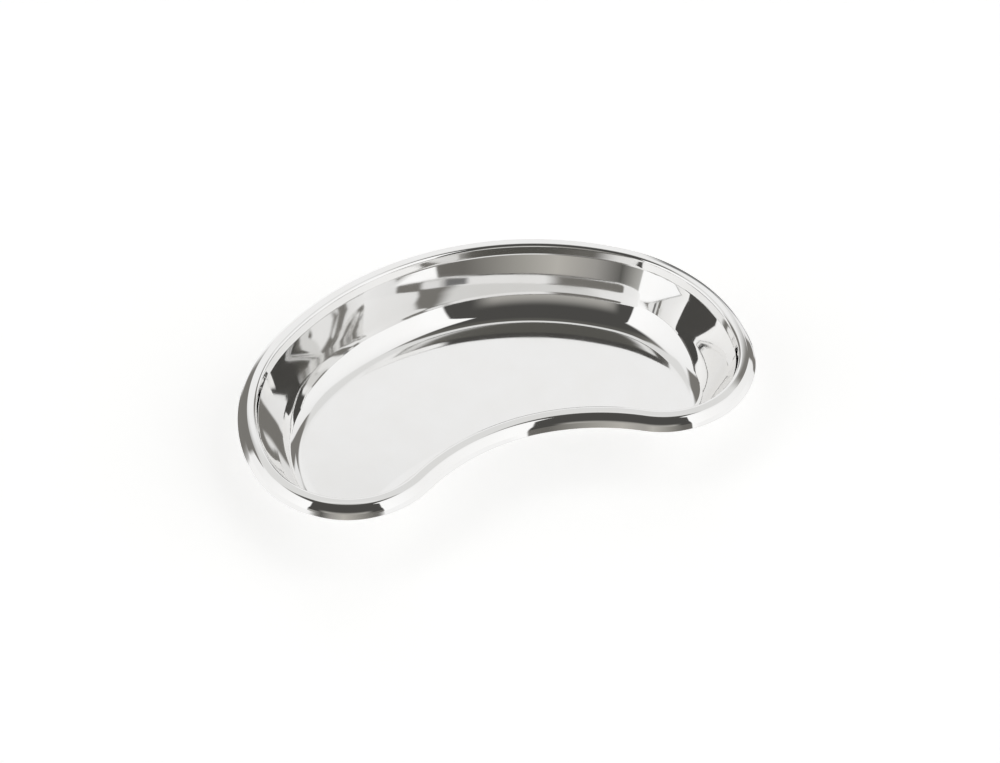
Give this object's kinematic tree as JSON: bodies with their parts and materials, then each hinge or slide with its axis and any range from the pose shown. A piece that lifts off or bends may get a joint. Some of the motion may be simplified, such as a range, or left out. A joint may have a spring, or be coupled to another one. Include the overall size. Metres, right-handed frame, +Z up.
{
  "type": "kidney dish",
  "caption": "Shallow kidney-shaped instrument and emesis dish in mirror-polished stainless steel, with a flat floor, leaning wall and a turned-down rim.",
  "frame": {"origin": "middle of the bounding box, on the surface that the dish stands on", "axes": "+X along the length, +Y towards the convex back, +Z up; the hollow side of the kidney faces -Y"},
  "size_m": [0.25, 0.148, 0.034],
  "materials": {
    "polished_steel": "mirror-polished 18/10 stainless steel"
  },
  "bodies": {
    "root": {"kidney_dish": "polished_steel"}
  },
  "joints": []
}
